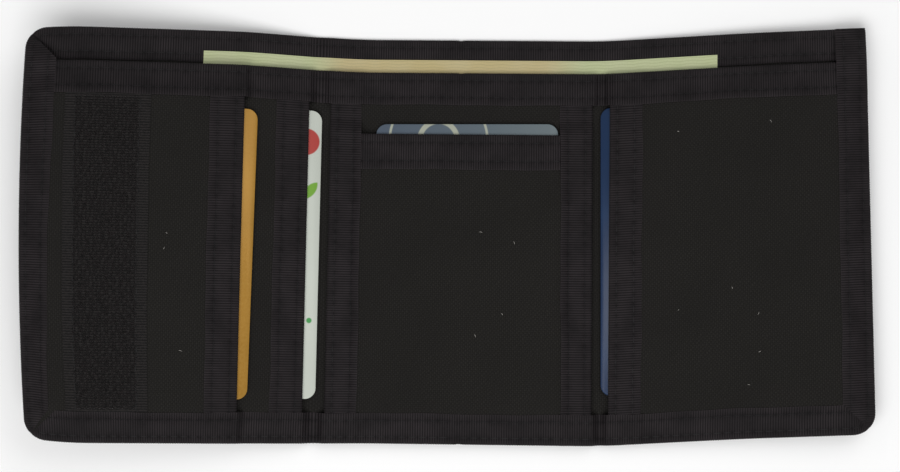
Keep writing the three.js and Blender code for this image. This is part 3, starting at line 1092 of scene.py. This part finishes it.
def hook_tubes(box):
    """Rows of small bent hooks: each a thin tube that leans over to one side or the other."""
    x = np.arange(box.x0 + HOOK_MARGINS[0], box.x1 - HOOK_MARGINS[1], HOOK_PITCH[0])
    y = np.arange(box.y0 + END_MARGINS[0], box.y1 - END_MARGINS[1], HOOK_PITCH[1])
    gx, gy = (g.ravel() for g in np.meshgrid(x, y))
    clear = abs(gx - (box.x1 - HOOK_MARGINS[1] - SEAM_OFFSETS[1])) > 0.5
    gx, gy = gx[clear], gy[clear]
    gx = gx + RANDOM.normal(0, HOOK_SCATTER[0], gx.shape)
    gy = gy + RANDOM.normal(0, HOOK_SCATTER[1], gx.shape)
    which_way = np.where(RANDOM.random(gx.shape) < 0.5, -1.0, 1.0)
    lean = which_way * RANDOM.uniform(*HOOK_LEAN, gx.shape)
    slant = RANDOM.normal(0, HOOK_SLANT, gx.shape)
    tall = RANDOM.uniform(*HOOK_TALL, gx.shape)
    gx, gy, lean, slant, tall = (v[:, None, None] for v in (gx, gy, lean, slant, tall))
    path = np.array(HOOK_PATH)
    out, up, wire = (v[:, None] for v in (path[:, 0], path[:, 1], np.array(HOOK_WIRE)))
    near = np.pad(path, ((1, 1), (0, 0)), mode="edge")
    run, rise = (near[2:] - near[:-2]).T
    tilt = np.arctan2(run, rise)[:, None]
    turn = turns(HOOK_SIDES)
    x = gx + lean * (out + wire * np.cos(turn) * np.cos(tilt))
    y = gy + wire * np.sin(turn) + slant * up
    return stacked(x, y, tall * up - wire * np.cos(turn) * np.sin(tilt))


def strip_seams(box, top):
    """The stitches of the hook strip's two seams, just inside its selvedges."""
    turn = turns(STITCH_SIDES)
    middles = np.arange(box.y0 + 1.5, box.y1 - 1.0, STRIP_STITCH)[:, None, None]
    made = []
    outer = box.x0 + HOOK_MARGINS[0] - SEAM_OFFSETS[0]
    inner = box.x1 - HOOK_MARGINS[1] - SEAM_OFFSETS[1]
    for place in (outer, inner):
        drift = RANDOM.normal(0, SEAM_DRIFT, middles.shape)
        x = place + drift + STITCH_RADIUS * np.cos(turn)
        y = middles + STITCH_REACH
        made.append(stacked(x, y, top(x, y) + STITCH_SAG + STITCH_RADIUS * np.sin(turn)))
    return np.concatenate(made)


def make_hook_strip():
    box = BOX["hook_strip"]
    low = lambda x, y: OUTER.top(x, y) + SEWN_GAP
    top = lambda x, y: OUTER.top(x, y) + SEWN_GAP + STRIP_THICK
    make_strip("hook_strip_base", "hook_strip", (low, top), "left_wing", HOOK_GROUND, "hooks")
    rings = hook_tubes(box)
    rings[..., 2] += top(rings[..., 0], rings[..., 1]) - SEWN_GAP
    make_tubes("hook_strip_seams", strip_seams(box, top), "left_wing", THREAD)
    make_tubes("hooks", rings, "left_wing", HOOKS)


def make_loop_strip():
    """Its pile of loops faces down: a fine uneven underside."""
    box = BOX["loop_strip"]
    low = lambda x, y: box.z0 + 0.12 + 0.1 * np.sin(7.1 * x + 3 * np.sin(2.3 * y)) * np.sin(6.3 * y)
    top = lambda x, y: box.z1 + 0 * x
    make_strip("loop_strip_cloth", "loop_strip", (low, top), "right_wing", LOOPS, "loops")


# ---- cards and the note

CARD_CORNER = 3.18
CARD_BEVEL = 0.12
CORNER_POINTS = 9


def card_outline(width, height, inset):
    radius = CARD_CORNER - inset
    points = []
    for quarter, (sx, sy) in enumerate(((1, 1), (-1, 1), (-1, -1), (1, -1))):
        centre = (sx * (width / 2 - CARD_CORNER), sy * (height / 2 - CARD_CORNER))
        for a in np.linspace(0, math.pi / 2, CORNER_POINTS) + quarter * math.pi / 2:
            points.append((centre[0] + radius * math.cos(a), centre[1] + radius * math.sin(a)))
    return np.array(points)


def make_card(node, material, turn):
    """A plastic card with rounded corners and softened edges, turned a little in its pocket."""
    box = BOX[node]
    low, high = box.z0 + CARD_BEVEL, box.z1 - CARD_BEVEL
    levels = [(box.z0, CARD_BEVEL), (low, 0.0), (high, 0.0), (box.z1, CARD_BEVEL)]
    rings = []
    for z, inset in levels:
        outline = card_outline(box.width, box.height, inset)
        rings.append(np.column_stack([outline, np.full(len(outline), z)])[::-1])
    print_points, faces = capsules(np.array([rings]))
    centre = np.array([[(box.x0 + box.x1) / 2, (box.y0 + box.y1) / 2, 0.0]])
    moved = skewed(centre)[0]
    c, s = math.cos(math.radians(turn)), math.sin(math.radians(turn))
    x, y, z = print_points.T
    points = np.stack([moved[0] + x * c + y * s, moved[1] - x * s + y * c, z], 1)
    piece = make_mesh(node + "_print", raised(points, node), faces, material, {"print": print_points})
    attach(piece, node)
    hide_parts(node)


NOTE_WAVE = 0.06


def make_note():
    left, middle, right = BOX["note_left"], BOX["note_middle"], BOX["note_right"]
    centre = ((left.x0 + right.x1) / 2, (middle.y0 + middle.y1) / 2)
    low = lambda x, y: middle.z0 + NOTE_WAVE * (wave(1.7 * x, 1.7 * y) - 0.5)
    top = lambda x, y: low(x, y) + middle.z1 - middle.z0
    y = even_steps(middle.y0, middle.y1, SHEET_GRID)
    spans = {"left": (left.x0, MIDDLE_X), "right": (MIDDLE_X, right.x1)}
    for half, fold in HALVES:
        span = spans[half]
        points, faces = shell(steps_across(*span), y, low, top)
        stored = points - (*centre, 0)
        name = f"banknote_{half}"
        piece = make_mesh(name, laid(points, fold), faces, BANKNOTE, {"print": stored})
        follow(piece, fold)
        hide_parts(f"note_{half}", *(["note_middle"] if half == "left" else []))


# ---------------- the cloth panels and their tapes

INSET = TAPE + SEWN_GAP + 0.1


def cloth_sheet(name, layer, x_range, y_range, where, *replaced):
    """A piece of woven nylon of the pile."""
    x = steps_across(*x_range) if where in (LEFT, RIGHT) else even_steps(*x_range, SHEET_GRID)
    y = even_steps(*y_range, SHEET_GRID)
    make_sheet(name, x, y, (layer.low, layer.top), where, NYLON, "fabric", replaced)


LINT = {  # body: the sheet that the specks lie on, the part of it that shows, and how many
    "left_wing": (OUTER, (-87, -78), (15, 100), 3),
    "middle": (CENTRE_FRONT, (-27, 28), (15, 75), 4),
    "right_wing": (RIGHT_FRONT, (58, 108), (15, 95), 7),
}
LINT_LENGTH = (0.25, 0.6)  # half of a speck's length
LINT_CURL = 0.25
LINT_WIRE, LINT_LIFT = 0.07, 0.06


def make_lint():
    """A few short pale fibres caught on the cloth."""
    bend = np.linspace(-1, 1, 5)[:, None]
    turn = turns(5)
    for body, (layer, across, up, count) in LINT.items():
        ranges = np.array([across, up, (0, math.pi), LINT_LENGTH])
        drawn = RANDOM.uniform(ranges[:, 0], ranges[:, 1], (count, 4))
        x, y, angle, length = drawn.T[:, :, None, None]
        c, s = np.cos(angle), np.sin(angle)
        x = MIDDLE_X + x + length * (bend * c - LINT_CURL * bend**2 * s)
        y = BOTTOM + y + length * (bend * s + LINT_CURL * bend**2 * c)
        wire = LINT_WIRE * (1.1 - bend**2)
        z = layer.top(x, y) + LINT_LIFT + wire * np.sin(turn)
        rings = stacked(x - wire * np.cos(turn) * s, y + wire * np.cos(turn) * c, z)
        make_tubes(f"lint_{body}", rings, body, LINT_FIBRE)


def make_panels():
    low = BOTTOM + INSET
    cover_high, divider_high = COVER_TOP - INSET, DIVIDER_TOP - INSET
    left, right = LEFT_EDGE + INSET, RIGHT_EDGE - INSET
    for half, span, fold in (("left", (left, MIDDLE_X), LEFT), ("right", (MIDDLE_X, right), RIGHT)):
        for part, layer, high in (("cover", COVER, cover_high), ("divider", DIVIDER, divider_high)):
            name = f"{part}_cloth_{half}"
            cloth_sheet(name, layer, span, (low, high), fold, *nodes_of(half, part))
    centre = (CENTRE_LEFT + INSET, CENTRE_RIGHT - INSET)
    centre_high = BOX["centre_pocket_tape"].y1 - INSET
    for node, layer, span, high, body in (
        ("inner_pocket_front", INNER, (left, LEFT_MOUTH - INSET), divider_high, "left_wing"),
        ("outer_pocket_front", OUTER, (left, OUTER_MOUTH - INSET), divider_high, "left_wing"),
        ("right_pocket_front", RIGHT_FRONT, (RIGHT_MOUTH + INSET, right), divider_high, "right_wing"),
        ("centre_panel", CENTRE_PANEL, centre, divider_high, "middle"),
        ("centre_pocket_front", CENTRE_FRONT, centre, centre_high, "middle"),
    ):
        cloth_sheet(node + "_cloth", layer, span, (low, high), body, node)


TUCK = 2.4  # how far a tape's end goes under the tape that crosses it
OVERLAP = 0.6  # the top tape's cut end stops this far short of the right edge
TAPER = 1.9  # the left side's tape is narrower at its bottom end by this
TOP_CROWN = 0.02


def make_tapes(seams, where, rows):
    """Makes and sews the tapes that move alike. In a row: piece, its CAD nodes, the side that the tape
    is folded over and its place, run, width, front, back, and what the ends need."""
    tapes = []
    for name, nodes, facing, place, run, width, front, back, *ends in rows:
        tape = Tape(name, Edge(facing, place), run, width, front, back, where, *ends)
        tape.make(*nodes)
        tapes.append(tape)
    sew(seams, tapes)


def long_tapes(half):
    """One half of each of the three tapes that run across the whole wallet."""
    left = half == "left"
    run = (LEFT_EDGE, MIDDLE_X) if left else (MIDDLE_X, RIGHT_EDGE)
    top_run = run if left else (MIDDLE_X, RIGHT_EDGE - OVERLAP)
    tucked = BINDING - TUCK
    divider_run = (run[0] + tucked, run[1]) if left else (run[0], run[1] - tucked)
    mitres = (1, 0) if left else (0, 1)
    top_mitres = (1, 0) if left else (0, 0)
    top = ("top", COVER_TOP, top_run, BINDING, over(COVER), ground, top_mitres, TOP_CROWN)
    edging = BOX["middle_divider_tape"].height
    divider = ("top", DIVIDER_TOP, divider_run, edging, divider_front, under(DIVIDER))
    bottom = ("bottom", BOTTOM, run, BINDING, long_front, ground, mitres)
    return [
        (f"top_tape_{half}", nodes_of(half, "top_binding"), *top),
        (f"divider_edge_{half}", nodes_of(half, "divider_tape"), *divider),
        (f"bottom_tape_{half}", nodes_of(half, "bottom_binding"), *bottom),
    ]


def make_long_tapes():
    for half, fold in HALVES:
        make_tapes(f"seams_{half}", fold, long_tapes(half))


def upright_tapes():
    """The tapes of each body, without their names."""
    run = (BOTTOM + BINDING - TUCK, DIVIDER_TOP - BOX["middle_divider_tape"].height + TUCK)
    whole = (BOTTOM, COVER_TOP)
    wide = BOX["inner_pocket_tape"].width
    edging = BOX["centre_left_tape"].width
    between = (CENTRE_LEFT + edging - TUCK, CENTRE_RIGHT - edging + TUCK)
    mouth = BOX["centre_pocket_tape"]
    left_side = (left_side_front, ground, (1, 1), CROWN, TAPER)
    right_side = (right_side_front, right_side_back, (1, 0))
    panel = (centre_side_front, under(CENTRE_PANEL))
    pocket = (over(CENTRE_FRONT), under(CENTRE_FRONT))
    return {
        "left_wing": {
            "left_side_binding": ("left", LEFT_EDGE, whole, BINDING, *left_side),
            "inner_pocket_tape": ("right", LEFT_MOUTH, run, wide, over(INNER), under(INNER)),
            "outer_pocket_tape": ("right", OUTER_MOUTH, run, wide, over(OUTER), under(OUTER)),
        },
        "right_wing": {
            "right_side_binding": ("right", RIGHT_EDGE, whole, BINDING, *right_side),
            "right_pocket_tape": ("left", RIGHT_MOUTH, run, wide, over(RIGHT_FRONT), under(RIGHT_FRONT)),
        },
        "middle": {
            "centre_pocket_tape": ("top", mouth.y1, between, mouth.height, *pocket),
            "centre_left_tape": ("left", CENTRE_LEFT, run, edging, *panel),
            "centre_right_tape": ("right", CENTRE_RIGHT, run, edging, *panel),
        },
    }


def make_upright_tapes():
    for body, tapes in upright_tapes().items():
        rows = [(f"{node}_cloth", [node], *row) for node, row in tapes.items()]
        make_tapes(f"seams_{body}", body, rows)


make_camera()
make_studio()
NYLON = nylon_material()
GROSGRAIN = grosgrain_material()
THREAD = thread_material()
HOOKS = hook_material()
HOOK_GROUND = hook_ground_material()
LOOPS = loop_material()
BANKNOTE = banknote_print()
LINT_FIBRE = lint_material()
make_panels()
make_long_tapes()
make_upright_tapes()
make_hook_strip()
make_loop_strip()
make_card("gold_card", gold_print(), 2.2)
make_card("white_card", white_print(), 1.4)
make_card("blue_card", blue_print(), 0.0)
make_card("centre_card", grey_print(), 0.0)
make_note()
make_lint()
